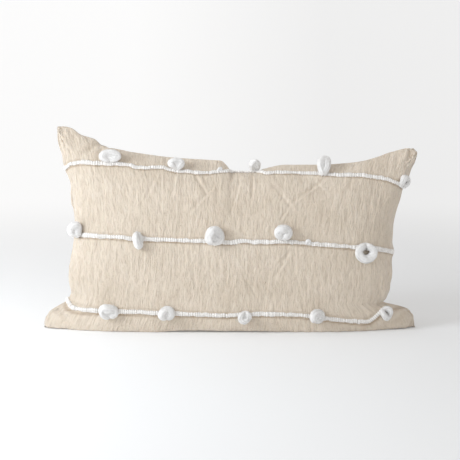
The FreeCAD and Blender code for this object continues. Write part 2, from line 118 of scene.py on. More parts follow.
def noise(x, y, seed):
    """Smooth noise from -1 to 1 on a unit lattice, the same each run."""
    lattice = np.random.default_rng(seed).uniform(-1, 1, (128, 128))
    i, j = np.floor(x).astype(int), np.floor(y).astype(int)
    u, v = x - i, y - j
    u, v = u * u * (3 - 2 * u), v * v * (3 - 2 * v)
    corner = lambda a, b: lattice[(i + a) % 128, (j + b) % 128]
    return ((corner(0, 0) * (1 - u) + corner(1, 0) * u) * (1 - v)
            + (corner(0, 1) * (1 - u) + corner(1, 1) * u) * v)


def around(count):
    """Evenly spaced angles round a circle."""
    return np.linspace(0, 2 * math.pi, count, endpoint=False)


def circle(angle, radius):
    return np.stack([np.cos(angle) * radius, np.sin(angle) * radius], -1)


def unit(vectors):
    return vectors / np.maximum(np.linalg.norm(vectors, axis=-1, keepdims=True), 1e-12)


# ---------------- the form that the insert gives the cover
ROUNDNESS = 2.7  # power of the section's superellipse
TOP_THINNING, BOTTOM_THINNING = 0.72, 0.42  # how much thinner the corners are than the middle
SEAM_FLAT = (.74, .92)  # share across over which the raised seam comes down to the floor
GROOVE = 6 * MM  # half width of the groove that the raised seam lies in


def form(side, u, v, across, up):
    """A point of the stuffed cover: side is -1 in front and 1 behind, u and v run from -1 to 1."""
    w = (v + 1) / 2
    x = -through(LEFT_SIDE, w) * HALF_LEFT * (1 - u) / 2 + through(RIGHT_SIDE, w) * HALF_RIGHT * (1 + u) / 2
    corner = smooth(.55, 1, abs(u)) * smooth(.5, 1, abs(v))
    thinning = np.where(v > 0, TOP_THINNING, BOTTOM_THINNING)
    reach = DEPTH / 2 * across * up * (1 - thinning * corner)
    raw = w * (through(TOP_SEAM, u) * TALL + SAG) + through(NOTCH, u) * w ** 9 - SAG
    z = 0.5 * (raw + np.hypot(raw, 1.2 * MM))
    lift = SEAM_RISE * (1 - .96 * smooth(*SEAM_FLAT, abs(u)))
    z = z + lift * np.exp(-(reach / GROOVE) ** 2) * smooth(.3, 0, w)
    y = side * reach + LEAN_BACK * (np.maximum(z, 0) / LEAN_HEIGHT) ** 1.4 + SEAM_Y
    return np.stack([x, y, z], -1)


def rounded(degrees):
    """A place round the section, as shares of the half width and of the half depth."""
    s, c = np.sin(np.radians(degrees)), np.maximum(0, np.cos(np.radians(degrees)))
    return np.sign(s) * abs(s) ** (2 / ROUNDNESS), c ** (2 / ROUNDNESS)


def even_angles(points_of, count):
    """The angles that divide a curve evenly by length."""
    angles = np.linspace(-90, 90, 2001)
    steps = np.linalg.norm(np.diff(points_of(angles), axis=0), axis=1)
    along = np.r_[0, np.cumsum(steps)]
    return np.interp(np.linspace(0, along[-1], count + 1), along, angles)


def form_grid(side, nx, nz):
    """The form's front or back as a grid whose middle row and column are evenly spaced."""
    def middle_row(angles):
        u, across = rounded(angles)
        return form(side, u, 0 * u, across, 1)

    def middle_column(angles):
        v, up = rounded(angles)
        return form(side, 0 * v, v, 1, up)

    u, across = rounded(even_angles(middle_row, nx))
    v, up = rounded(even_angles(middle_column, nz))
    return form(side, u[:, None] + 0 * v, v + 0 * u[:, None], across[:, None], up)


# ---------------- cloth simulation of the cover
FLAT_WIDE, FLAT_HIGH = .630, .357  # the flat panels that are sewn
TAPER = .08  # the right end is filled less high
DOME = 20 * MM  # how far the two panels start apart in the middle
CELLS = (112, 60)
FRAMES, SEWN_BY = 32, 18  # frames in all, and frames until the seams are in place
HOLD, PRESSURE = .42, 2.3  # how strongly the form holds the panels, and the stuffing's pressure
CONTACT = .8 * MM  # how near the cloth comes to the floor
BASE_FORM = (100 * MM, 20 * MM)  # from the bottom seam: the base keeps the form, flat where it stands


def grid_quads(index, flip=False):
    q = np.stack([index[:-1, :-1], index[1:, :-1], index[1:, 1:], index[:-1, 1:]], -1).reshape(-1, 4)
    return q[:, ::-1] if flip else q


def border(grid_shape):
    """True on the outermost points of a grid."""
    on = np.ones(grid_shape, bool)
    on[1:-1, 1:-1] = False
    return on


def placed(name, data):
    """A new object in the scene."""
    made = bpy.data.objects.new(name, data)
    bpy.context.scene.collection.objects.link(made)
    return made


def add_cloth(cover):
    """Cloth like stiff woven cotton, blown up by the stuffing and held by its vertex group."""
    modifier = cover.modifiers.new("cloth", "CLOTH")
    settings = modifier.settings
    settings.quality, settings.mass = 5, .0008
    settings.tension_stiffness = settings.compression_stiffness = 30
    settings.shear_stiffness, settings.bending_stiffness = 8, 2.0
    settings.tension_damping = settings.compression_damping = settings.shear_damping = .5
    settings.bending_damping, settings.air_damping, settings.pin_stiffness = .5, 1, 1
    settings.use_pressure, settings.uniform_pressure_force = True, PRESSURE
    settings.vertex_group_mass = "held"
    settings.effector_weights.gravity = 0
    modifier.collision_settings.distance_min = CONTACT
    modifier.point_cache.frame_start, modifier.point_cache.frame_end = 1, FRAMES


def simulate_cover():
    """Sews two flat panels, blows them up inside the seam outline and gives the front and back grids."""
    nx, nz = CELLS
    s, t = np.meshgrid(np.linspace(-FLAT_WIDE / 2, FLAT_WIDE / 2, nx + 1), np.linspace(0, FLAT_HIGH, nz + 1),
                       indexing="ij")
    dome = DOME * np.cos(math.pi * s / FLAT_WIDE) * np.sin(math.pi * t / FLAT_HIGH)
    height = t * (1 - TAPER * smooth(0, 1, s / FLAT_WIDE + .5)) + 4 * MM
    flat_front = np.stack([s, SEAM_Y - dome, height], -1)
    flat_back = np.stack([s, SEAM_Y + dome, height], -1)
    front_index = np.arange(s.size).reshape(s.shape)
    back_index = front_index.copy()
    back_index[1:-1, 1:-1] = s.size + np.arange((nx - 1) * (nz - 1)).reshape(nx - 1, nz - 1)
    edge = border(s.shape)
    front_form, back_form = form_grid(-1, nx, nz), form_grid(1, nx, nz)
    front_form[edge] = ((front_form + back_form) / 2)[edge]

    def points(front, back):
        return np.concatenate([front.reshape(-1, 3), back[1:-1, 1:-1].reshape(-1, 3)])

    faces = np.concatenate([grid_quads(front_index), grid_quads(back_index, flip=True)])
    mesh = bpy.data.meshes.new("cover_cloth_sim")
    mesh.from_pydata(points(flat_front, flat_back).tolist(), [], faces.tolist())
    cloth = placed("cover_cloth_sim", mesh)
    cloth.shape_key_add(name="Basis")
    stuffed = cloth.shape_key_add(name="stuffed")
    stuffed.data.foreach_set("co", points(front_form, back_form).ravel())
    for value, when in ((0, 1), (1, 1 + SEWN_BY)):
        stuffed.value = value
        stuffed.keyframe_insert("value", frame=when)
    held = cloth.vertex_groups.new(name="held")
    held.add(list(range(len(mesh.vertices))), HOLD, "REPLACE")
    held.add(front_index[edge].tolist(), 1.0, "REPLACE")

    ground_mesh = bpy.data.meshes.new("cloth_floor")
    ground_mesh.from_pydata([(-.6, -.3, 0), (.6, -.3, 0), (.6, .3, 0), (-.6, .3, 0)], [], [(0, 1, 2, 3)])
    ground = placed("cloth_floor", ground_mesh)
    ground.modifiers.new("collision", "COLLISION")
    ground.collision.thickness_outer = CONTACT

    add_cloth(cloth)
    scene = bpy.context.scene
    scene.frame_start, scene.frame_end = 1, FRAMES
    for step in range(1, FRAMES + 1):
        scene.frame_set(step)
    shaped = cloth.evaluated_get(bpy.context.evaluated_depsgraph_get()).data
    co = np.zeros(len(shaped.vertices) * 3)
    shaped.vertices.foreach_get("co", co)
    co = co.reshape(-1, 3)
    resting = smooth(*BASE_FORM, t)[..., None]
    front = co[front_index] * (1 - resting) + front_form * resting
    back = co[back_index] * (1 - resting) + back_form * resting
    moves = cloth.data.shape_keys.animation_data.action
    for thing in (cloth, ground):
        bpy.data.objects.remove(thing)
    for data in (mesh, ground_mesh):
        bpy.data.meshes.remove(data)
    bpy.data.actions.remove(moves)
    scene.frame_set(1)
    return front, back


# ---------------- finer grids, offsets and detail
def resample(grid, at_x, at_z):
    """The grid's points at fractional rows and columns, by Catmull-Rom curves."""
    def one_way(values, at):
        k = np.clip(np.floor(at).astype(int), 0, len(values) - 2)
        f = (at - k)[(...,) + (None,) * (values.ndim - 1)]
        ends = np.concatenate([2 * values[:1] - values[1:2], values, 2 * values[-1:] - values[-2:-1]])
        a, b, c, d = (ends[k + n] for n in range(4))
        return b + f / 2 * (c - a + f * (2 * a - 5 * b + 4 * c - d + f * (3 * (b - c) + d - a)))

    return one_way(one_way(grid, at_x).swapaxes(0, 1), at_z).swapaxes(0, 1)


def normals(grid, side):
    """The way out of a front (side -1) or back (side 1) grid."""
    n = unit(np.cross(np.gradient(grid, axis=0), np.gradient(grid, axis=1)))
    return n if side < 0 else -n


def places(cells):
    """Fractional places along a side, close together beside the seams."""
    fine = np.array([0, .11, .26, .48, .75])
    inner = np.linspace(1.08, cells - 1.08, int((cells - 2.16) / .37) + 1)
    return np.concatenate([fine, inner, cells - fine[::-1]])


def fine_cover():
    """The simulated cover on finer grids, with each point's place on the flat panels."""
    front, back = simulate_cover()
    at_x, at_z = places(CELLS[0]), places(CELLS[1])
    front, back = resample(front, at_x, at_z), resample(back, at_x, at_z)
    s = ((at_x / CELLS[0]) - .5)[:, None] * FLAT_WIDE + 0 * at_z
    t = (at_z / CELLS[1]) * FLAT_HIGH + 0 * at_x[:, None]
    return front, back, s, t


front, back, S, T = fine_cover()
FROM_SIDE = FLAT_WIDE / 2 - abs(S)
FROM_END = np.minimum(T, FLAT_HIGH - T)
FROM_SEAM = np.minimum(FROM_SIDE, FROM_END)



def seen_height(grid):
    """Height above the floor as it looks from the camera's angle, measured in the seam plane."""
    return grid[..., 2] + (grid[..., 1] - SEAM_Y) * math.tan(ELEVATION)


def top_line(x):
    """The top seam's height at x."""
    u = np.clip((x - LEFT_TIP) / (RIGHT_TIP - LEFT_TIP) * 2 - 1, -1, 1)
    return through(TOP_SEAM, u) * TALL + through(NOTCH, u)


def extreme(places_at, values, at, reach, pick):
    """The highest or lowest value near each place."""
    found = np.array([pick(values[abs(places_at - a) < reach], initial=0) for a in at])
    return np.convolve(np.pad(found, 1, mode="edge"), [.25, .5, .25], "valid")


def fit_outline(front, back):
    """Moves the sides and then the top to the outline that the photograph shows."""
    sides = ((-1, LEFT_SIDE, HALF_LEFT, TALL), (1, RIGHT_SIDE, HALF_RIGHT, RIGHT_TALL * TALL))
    for side, table, half, tall in 2 * sides:
        both = np.concatenate([front.reshape(-1, 3), back.reshape(-1, 3)])
        heights = np.linspace(0, tall, 180)
        now = extreme(seen_height(both), side * both[:, 0], heights, 3 * MM, np.max)
        wanted = through(table, np.clip((heights + OUTLINE_SAG) / (tall + OUTLINE_SAG), 0, 1)) * half
        wanted = extreme(heights, wanted, heights, 3 * MM, np.max)
        for grid in (front, back):
            change = np.interp(seen_height(grid), heights, wanted - now)
            reached = np.interp(seen_height(grid), heights, now)
            grid[..., 0] += side * change * np.clip(side * grid[..., 0] / reached, 0, 1.1) ** 6
    both = np.concatenate([front.reshape(-1, 3), back.reshape(-1, 3)])
    across = np.linspace(LEFT_TIP, RIGHT_TIP, 200)
    now = extreme(both[:, 0], seen_height(both), across, 2.5 * MM, np.max)
    for grid in (front, back):
        change = np.interp(grid[..., 0], across, top_line(across) - now)
        grid[..., 2] += change * np.clip(grid[..., 2] / np.interp(grid[..., 0], across, now), 0, 1.1) ** 3


fit_outline(front, back)

# Ears: beyond the body's round corner the two bottom corners lie thin, like flaps.
EAR_BACK = 6 * MM  # the ears hang behind the body's round corners
EAR_SIZE = {-1: (.060, .058), 1: (.076, .068)}  # along the bottom seam and up the side seam
# Place from the corner (1 is the body's edge), then how far from the middle the cloth may stand, in mm.
EAR_LIMIT = [(0, 3), (.3, 7), (.65, 8.5), (.86, 6), (.93, 3), (.99, 12), (1.05, 28), (1.16, 50), (1.4, 90),
             (9, 90)]
for side, (along, upward) in EAR_SIZE.items():
    place = (FLAT_WIDE / 2 - side * S) / along + T / upward
    limit = np.interp(place, *np.array(EAR_LIMIT).T) * MM
    middle_y = (front[..., 1] + back[..., 1]) / 2
    for grid in (front, back):
        off = grid[..., 1] - middle_y
        grid[..., 1] = middle_y + np.sign(off) * (np.maximum(abs(off), 1e-6) ** -4 + limit ** -4) ** -.25
        grid[..., 1] += EAR_BACK * smooth(1.02, .7, place) * smooth(0, .15, place)

# The stuffing's weight spreads the base.
SETTLE, SETTLE_HEIGHT = 9 * MM, 42 * MM
for grid in (front, back):
    off = abs(grid[..., 1] - SEAM_Y)
    near_floor = np.exp(-(np.maximum(grid[..., 2], 0) / SETTLE_HEIGHT) ** 1.5)
    lowered = grid[..., 2] - SETTLE * smooth(9 * MM, 27 * MM, off) * near_floor
    grid[..., 2] = .5 * (lowered + np.hypot(lowered, 2.5 * MM))

# The front's lower edge stands a little off the floor in the middle.
EDGE_LIFT = 2.6 * MM
middle = smooth(-.14, -.06, front[..., 0]) * smooth(.12, .0, front[..., 0])
raised = EDGE_LIFT * middle * np.exp(-front[..., 2] / (16 * MM))
front[..., 2] += raised * smooth(8 * MM, 26 * MM, SEAM_Y - front[..., 1])

# Keep the two panels apart: how far each stands from the middle surface at least.
LEAST = [(0, .12), (.7, 1.0), (2, 1.9), (10, 3.0), (25, 4.0), (400, 4.0)]
least = np.interp(FROM_SEAM / MM, *np.array(LEAST).T) * MM
short = np.maximum(0, least - (back - front)[..., 1] / 2)
front[..., 1] -= short
back[..., 1] += short

# The zip's opening: the bottom edges stand apart between the zip's ends.
zip_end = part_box("zip_tape_front")[1][0]
at_bottom = np.exp(-(T / (9 * MM)) ** 2)
opened = ZIP_HALF_OPENING * smooth(zip_end + 5 * MM, zip_end - 9 * MM, abs(S)) * at_bottom
front[..., 1] -= opened
back[..., 1] += opened

# The seam turns inward at the very edge.
for grid in (front, back):
    grid[0, :, 0] += CLOTH
    grid[-1, :, 0] -= CLOTH
    grid[:, -1, 2] -= CLOTH


def crinkle(s, t, seed):
    """Short upright ridges of hand-woven cotton, over softer rumples."""
    ridges = 1 - 2 * abs(noise(s / (7 * MM), t / (26 * MM), seed))
    small = noise(s / (4.6 * MM), t / (17 * MM), seed + 1)
    soft = noise(s / (30 * MM), t / (70 * MM), seed + 2)
    return (.58 * ridges + .46 * small + .75 * soft) * MM


def puckers(s, t, seed):
    """The gathers beside the seams."""
    along = np.where(FROM_SIDE < FROM_END, t, s)
    wave = noise(along / (8 * MM), FROM_SEAM / (30 * MM), seed)
    return .9 * MM * wave * np.exp(-FROM_SEAM / (11 * MM)) * smooth(0, 3 * MM, FROM_SEAM)


def crease(grid, start, end, depth, width):
    """A fold line in the front: how far each point is pushed in."""
    a, b = np.array(start), np.array(end)
    p = grid[..., [0, 2]]
    share = np.clip(((p - a) @ (b - a)) / ((b - a) @ (b - a)), 0, 1)
    off = p - (a + share[..., None] * (b - a))
    gap = (off @ np.array([-(b - a)[1], (b - a)[0]])) / np.linalg.norm(b - a)
    far = np.linalg.norm(off, axis=-1)
    fade = np.sin(np.pi * np.clip(share, .04, .96)) ** .6
    ridge = np.exp(-((gap - 1.6 * width) / width) ** 2) * (far < 6 * width)
    return depth * fade * (np.exp(-(far / width) ** 2) - .6 * ridge)


CREASES = [  # start x, z and end x, z in metres, then depth and width in millimetres
    ((.039, .268), (.038, .228), 2.7, 2.21), ((-.063, .275), (-.036, .232), 2.565, 2.21),
    ((-.092, .278), (-.098, .236), 1.89, 2.04), ((.169, .266), (.101, .22), 2.16, 2.38),
    ((.101, .22), (.084, .192), 1.62, 2.21), ((-.02, .258), (-.075, .2), 1.35, 2.55),
    ((.07, .258), (.12, .194), 1.35, 2.55), ((.018, .264), (.004, .211), 1.485, 2.21),
    ((.14, .264), (.165, .236), 1.62, 2.04), ((-.125, .268), (-.15, .215), 1.08, 2.55),
    ((-.065, .12), (-.055, .07), 1.215, 2.21), ((.075, .115), (.11, .15), 1.08, 2.04),
    ((.02, .105), (.045, .065), 1.215, 2.04), ((.1, .14), (.075, .095), 1.08, 2.38)]
DENTS = [  # centre x, z, half length, half width, slant in degrees, depth, in millimetres
    (-238, 312, 14, 5, 27, 5.0), (-287, 24, 18, 4, -42, 5.0), (-300, 34, 9, 4, 40, 2.5),
    (291, 22, 22, 5, 34, 4.5), (272, 30, 9, 3.5, -50, 2.5)]
pressed = sum(crease(front, a, b, depth * MM, width * MM) for a, b, depth, width in CREASES)


def dent(grid, x, z, half_long, half_wide, slant, depth):
    """A soft hollow in the front: how far each point is pushed in."""
    c, s = math.cos(math.radians(slant)), math.sin(math.radians(slant))
    dx, dz = grid[..., 0] / MM - x, grid[..., 2] / MM - z
    return depth * MM * np.exp(-((dx * c + dz * s) / half_long) ** 2 - ((dz * c - dx * s) / half_wide) ** 2)


detail = smooth(0, 6 * MM, FROM_SEAM)
pressed = (pressed + sum(dent(front, *spec) for spec in DENTS)) * detail
front_way, back_way = normals(front, -1), normals(back, 1)
front = front + front_way * ((crinkle(S, T, 11) * detail + puckers(S, T, 21) - pressed)[..., None])
back = back + back_way * ((crinkle(S, T, 31) * detail + puckers(S, T, 41))[..., None])
ON_FLOOR = .25 * MM
for grid in (front, back):
    low = grid[..., 2] < ON_FLOOR
    grid[low, 2] = ON_FLOOR


# ---------------- mesh makers
def piece(name, verts, faces, material, cloth=None, shade=None):
    """One mesh object; cloth is each point's place on the fabric or yarn, shade how dark it is."""
    mesh = bpy.data.meshes.new(name)
    mesh.from_pydata(np.asarray(verts).tolist(), [], faces)
    mesh.polygons.foreach_set("use_smooth", np.ones(len(mesh.polygons), bool))
    for label, kind, key, values in (("cloth", "FLOAT_VECTOR", "vector", cloth),
                                     ("shade", "FLOAT", "value", shade)):
        if values is not None:
            made = mesh.attributes.new(label, kind, "POINT")
            made.data.foreach_set(key, np.asarray(values, np.float32).ravel())
    mesh.materials.append(material)
    return placed(name, mesh)


def shell(outer, inner, side):
    """A closed skin between two grids: points and faces."""
    count = outer.shape[0] * outer.shape[1]
    index = np.arange(count).reshape(outer.shape[:2])
    out, back_side = grid_quads(index, side > 0), grid_quads(index + count, side < 0)
    rim = np.concatenate([index[:-1, 0], index[-1, :-1], index[:0:-1, -1], index[0, :0:-1]])
    after = np.roll(rim, -1)
    wall = np.stack([after, rim, rim + count, after + count], -1)
    wall = wall[:, ::-1] if side > 0 else wall
    return (np.concatenate([outer.reshape(-1, 3), inner.reshape(-1, 3)]),
            np.concatenate([out, back_side, wall]).tolist())


def tube(path, lift, across, outline):
    """A closed tube: outline gives each ring's points along across and lift."""
    rings, ring = outline.shape[:2]
    verts = path[:, None] + across[:, None] * outline[..., :1] + lift[:, None] * outline[..., 1:2]
    verts = verts.reshape(-1, 3)
    index = np.arange(rings * ring).reshape(rings, ring)
    nxt = np.roll(index, -1, axis=1)
    quads = np.stack([index[:-1], index[1:], nxt[1:], nxt[:-1]], -1).reshape(-1, 4).tolist()
    ends = [[*ids, len(verts) + k] for k, row in ((0, index[0]), (1, index[-1]))
            for ids in (zip(row, np.roll(row, -1)) if k == 0 else zip(np.roll(row, -1), row))]
    verts = np.concatenate([verts, path[:1], path[-1:]])
    along = np.r_[0, np.cumsum(np.linalg.norm(np.diff(path, axis=0), axis=1))]
    at = np.repeat(along, ring)
    cloth = np.stack([at, np.tile(np.arange(ring) / ring, rings) * 10 * MM, 0 * at], -1)
    cloth = np.concatenate([cloth, [[along[0], 0, 0], [along[-1], 0, 0]]])
    return verts, quads + ends, cloth


def joined(parts):
    """Several closed parts as one mesh's points, faces and cloth places."""
    verts, faces, cloth, start = [], [], [], 0
    for v, f, c in parts:
        verts.append(v)
        faces.extend([[int(k) + start for k in face] for face in f])
        cloth.append(c)
        start += len(v)
    return np.concatenate(verts), faces, np.concatenate(cloth)


# ---------------- materials
def node(tree, kind, inputs=(), **settings):
    made = tree.nodes.new("ShaderNode" + kind)
    for key, value in settings.items():
        setattr(made, key, value)
    for key, value in dict(inputs).items():
        if isinstance(value, bpy.types.NodeSocket):
            tree.links.new(value, made.inputs[key])
        else:
            made.inputs[key].default_value = value
    return made


def blank(name, **values):
    material = bpy.data.materials.new(name)
    material.use_nodes = True
    tree = material.node_tree
    shader = tree.nodes["Principled BSDF"]
    for key, value in values.items():
        shader.inputs[key.replace("_", " ")].default_value = value
    return material, tree, shader


def cloth_place(tree, scale, shift=(0, 0, 0)):
    place = node(tree, "Attribute", attribute_name="cloth").outputs["Vector"]
    return node(tree, "Mapping", {"Vector": place, "Scale": scale, "Location": shift}).outputs[0]


def noise_at(tree, vector, scale, detail=3.0, roughness=.55, distortion=0.0):
    return node(tree, "TexNoise", {"Vector": vector, "Scale": scale, "Detail": detail, "Roughness": roughness,
                                   "Distortion": distortion}).outputs["Fac"]


def ramp(tree, value, stops):
    """Grey levels; each stop is a place and a level."""
    made = node(tree, "ValToRGB", {"Fac": value})
    elements = made.color_ramp.elements
    for element, (place, _) in zip(elements, (stops[0], stops[-1])):
        element.position = place
    for place, _ in stops[1:-1]:
        elements.new(place)
    for element, (_, level) in zip(elements, stops):
        element.color = (level, level, level, 1)
    return made.outputs["Color"]


def maths(tree, operation, a, b=0.0):
    return node(tree, "Math", {0: a, 1: b}, operation=operation).outputs[0]


def mixed(tree, factor, a, b, blend="MIX"):
    a, b = (colour + (1,) if isinstance(colour, tuple) else colour for colour in (a, b))
    return node(tree, "Mix", {0: factor, 6: a, 7: b}, data_type="RGBA", blend_type=blend).outputs[2]


def weave(tree, place, scales, distortions, more={}):
    """Where warp and weft both stand up."""
    bands = [node(tree, "TexWave", {"Vector": place, "Scale": scale, "Distortion": distortion, **more},
                  bands_direction=way).outputs["Fac"]
             for scale, distortion, way in zip(scales, distortions, "XY")]
    return maths(tree, "MULTIPLY", *bands)


def dress(tree, shader, colour, layers):
    """Links the colour and stacks bumps; each layer is height, strength and distance in metres."""
    tree.links.new(colour, shader.inputs["Base Color"])
    normal = None
    for height, strength, distance in layers:
        inputs = {"Height": height, "Strength": strength, "Distance": distance}
        if normal is not None:
            inputs["Normal"] = normal
        normal = node(tree, "Bump", inputs).outputs[0]
    tree.links.new(normal, shader.inputs["Normal"])


CREAM, PALE, STREAK_TAN_AND_SHADE, FLECK = (.650, .560, .455), (.750, .660, .555), (.465, .375, .282), (.27, .17, .10)
# The first colour below darkens the cloth along the stripes' edges as a painted shadow; the second lightens
# the raised threads as a painted highlight.
STRIPE_SHADOW_TONE, PAINTED_THREAD_HIGHLIGHT = (.34, .235, .145), (.93, .86, .75)


def handwoven(name, tint, seed):
    """Slubby, crinkled cotton: warp and weft threads, upright crinkles that go tan in their hollows (partly
    the streaky warp's own colour, partly painted shade), flecks and broad colour drift, with a painted
    highlight on the raised threads and a painted shadow along the stripes' edges.
    """
    material, tree, shader = blank(name, Roughness=.88, Sheen_Weight=.35, Sheen_Roughness=.5,
                                   Specular_IOR_Level=.2, Subsurface_Weight=.06,
                                   Subsurface_Radius=(.004, .0025, .0015))
    cream, pale, tan = (tuple(c * tint for c in colour) for colour in (CREAM, PALE, STREAK_TAN_AND_SHADE))
    place = cloth_place(tree, (1, 1, 1), (seed, seed, 0))
    stretched = cloth_place(tree, (1, .24, 1), (seed, 0, 0))
    crosswise = cloth_place(tree, (.12, 1, 1), (0, seed, 0))
    streaks = noise_at(tree, stretched, 330, 4, .60, .30)
    fine = noise_at(tree, cloth_place(tree, (1, .4, 1), (0, seed, 0)), 900, 3, .6)
    slubs = noise_at(tree, crosswise, 520, 3, .6)
    drift = noise_at(tree, place, 14, 4, .55)
    threads = weave(tree, place, (300, 270), (1.6, 1.8), {"Detail": 2.0, "Detail Scale": .6})
    colour = mixed(tree, ramp(tree, drift, [(.30, .0), (.72, 1.0)]), cream, pale)
    # The streaks go tan where they sink: partly the warp's own streaky colour, partly painted shade in the
    # crinkles' hollows.
    colour = mixed(tree, ramp(tree, streaks, [(.34, .42), (.47, .08), (.60, .0)]), colour, tan)
    colour = mixed(tree, ramp(tree, slubs, [(.58, .0), (.74, .35)]), colour, pale)
    # Painted highlight: where warp and weft stand up, the colour goes a little lighter.
    colour = mixed(tree, maths(tree, "MULTIPLY", threads, .10), colour, PAINTED_THREAD_HIGHLIGHT)
    cells = node(tree, "TexVoronoi", {"Vector": place, "Scale": 95, "Randomness": 1.0}).outputs["Distance"]
    chance = noise_at(tree, place, 60, 2, .5)
    fleck = maths(tree, "MULTIPLY", ramp(tree, cells, [(.05, 1.0), (.085, .0)]),
                  ramp(tree, chance, [(.60, .0), (.64, .8)]))
    colour = mixed(tree, fleck, colour, FLECK)
    # Painted shadow along the stripes' edges, darkest under them, from the shade attribute.
    edge = node(tree, "Attribute", attribute_name="shade").outputs["Fac"]
    colour = mixed(tree, edge, colour, STRIPE_SHADOW_TONE)
    dress(tree, shader, colour, [(threads, .4, .4 * MM), (fine, .4, .6 * MM), (streaks, 1.0, 2.8 * MM),
                          (slubs, .45, 1.0 * MM)])
    return material


def fluffy(name, base, hollow_shade, strand_scale, strength):
    """Soft white roving or yarn: strands along it, a little uneven and slightly translucent, darkened by
    painted shade between its strands and clumps and in its grooves.
    """
    material, tree, shader = blank(name, Roughness=.9, Sheen_Weight=.5, Sheen_Roughness=.4,
                                   Specular_IOR_Level=.15, Subsurface_Weight=.35,
                                   Subsurface_Radius=(.004,) * 3)
    place = cloth_place(tree, (.16, 1, 1))
    strands = noise_at(tree, place, strand_scale, 4, .6, .4)
    clumps = noise_at(tree, cloth_place(tree, (1, 1, 1)), 160, 3, .5)
    # Painted shade: the hollows between strands and clumps go towards the darker colour.
    colour = mixed(tree, ramp(tree, strands, [(.3, .75), (.6, .0)]), base, hollow_shade)
    colour = mixed(tree, ramp(tree, clumps, [(.35, .35), (.6, .0)]), colour, hollow_shade)
    # Painted shade in the grooves between ribs and strands, from the shade attribute.
    groove = node(tree, "Attribute", attribute_name="shade").outputs["Fac"]
    colour = mixed(tree, groove, colour, tuple(.62 * c for c in hollow_shade))
    dress(tree, shader, colour, [(strands, strength, .9 * MM), (clumps, .3, 1.2 * MM)])
    return material


def box_place(tree):
    place = node(tree, "TexCoord").outputs["Object"]
    return node(tree, "Mapping", {"Vector": place}).outputs[0]


def webbing(name):
    """Herringbone zip tape."""
    material, tree, shader = blank(name, Roughness=.82, Sheen_Weight=.2)
    place = box_place(tree)
    threads = weave(tree, place, (150, 150), (.4, .4))
    wear = noise_at(tree, place, 120)
    colour = mixed(tree, threads, (.60, .51, .41), (.74, .66, .55))
    colour = mixed(tree, ramp(tree, wear, [(.4, .0), (.7, .3)]), colour, (.50, .42, .33))
    dress(tree, shader, colour, [(threads, .5, .3 * MM)])
    return material


def metal(name):
    """Antique brass, brushed and worn."""
    material, tree, shader = blank(name, Metallic=1.0)
    place = box_place(tree)
    brush = noise_at(tree, node(tree, "Mapping", {"Vector": place, "Scale": (1, 12, 12)}).outputs[0], 260)
    wear = noise_at(tree, place, 420, 4)
    colour = mixed(tree, ramp(tree, wear, [(.42, .0), (.62, 1.0)]), (.42, .31, .17), (.66, .53, .33))
    tree.links.new(ramp(tree, brush, [(.3, .28), (.7, .46)]), shader.inputs["Roughness"])
    dress(tree, shader, colour, [(brush, .25, .15 * MM)])
    return material


def nylon(name):
    """The zip's wound coil wire."""
    material, tree, shader = blank(name, Roughness=.35, Subsurface_Weight=.15, Subsurface_Radius=(.001,) * 3)
    place = box_place(tree)
    streak = noise_at(tree, place, 700)
    colour = mixed(tree, ramp(tree, streak, [(.35, .0), (.65, 1.0)]), (.62, .54, .44), (.76, .69, .59))
    dress(tree, shader, colour, [(streak, .2, .1 * MM)])
    return material


def wadding(name):
    """Tangled white polyester fibre."""
    material, tree, shader = blank(name, Roughness=.95, Sheen_Weight=.5, Subsurface_Weight=.3,
                                   Subsurface_Radius=(.006,) * 3)
    place = box_place(tree)
    tangle = noise_at(tree, place, 220, 6, .65, 1.2)
    colour = mixed(tree, ramp(tree, tangle, [(.35, 1.0), (.6, .0)]), (.92, .92, .91), (.74, .74, .73))
    dress(tree, shader, colour, [(tangle, .9, 2.5 * MM)])
    return material


def percale(name):
    """Close plain-weave liner."""
    material, tree, shader = blank(name, Roughness=.8, Sheen_Weight=.15)
    place = cloth_place(tree, (1, 1, 1))
    threads = weave(tree, place, (520, 520), (.8, .8))
    rumple = noise_at(tree, place, 34, 4)
    colour = mixed(tree, threads, (.78, .77, .74), (.88, .87, .84))
    colour = mixed(tree, ramp(tree, rumple, [(.35, .3), (.65, .0)]), colour, (.68, .66, .62))
    dress(tree, shader, colour, [(threads, .3, .2 * MM), (rumple, .5, 3 * MM)])
    return material


COVER = handwoven("cover_cloth_front", 1.0, 0.0)
COVER_BACK = handwoven("cover_cloth_back", .98, 3.7)
# The second colour of each is the painted shade in its hollows and grooves.
YARN = fluffy("stripe_yarn", (.90, .885, .87), (.70, .67, .63), 900, .40)
ROVING = fluffy("roving", (.85, .845, .84), (.66, .645, .63), 620, .45)
LINER = percale("insert_liner")
WADDING = wadding("fibre_fill")
TAPE = webbing("zip_tape")
COIL = nylon("zip_coil")
METAL = metal("zip_metal")

# ---------------- where the stripes run
def sample(grid, i, j):
    """A grid's values at fractional rows and columns."""
    a, b = np.clip(i, 0, grid.shape[0] - 1.001), np.clip(j, 0, grid.shape[1] - 1.001)
    k, m = a.astype(int), b.astype(int)
    f, g = (a - k)[:, None], (b - m)[:, None]
    return ((grid[k, m] * (1 - f) + grid[k + 1, m] * f) * (1 - g)
            + (grid[k, m + 1] * (1 - f) + grid[k + 1, m + 1] * f) * g)


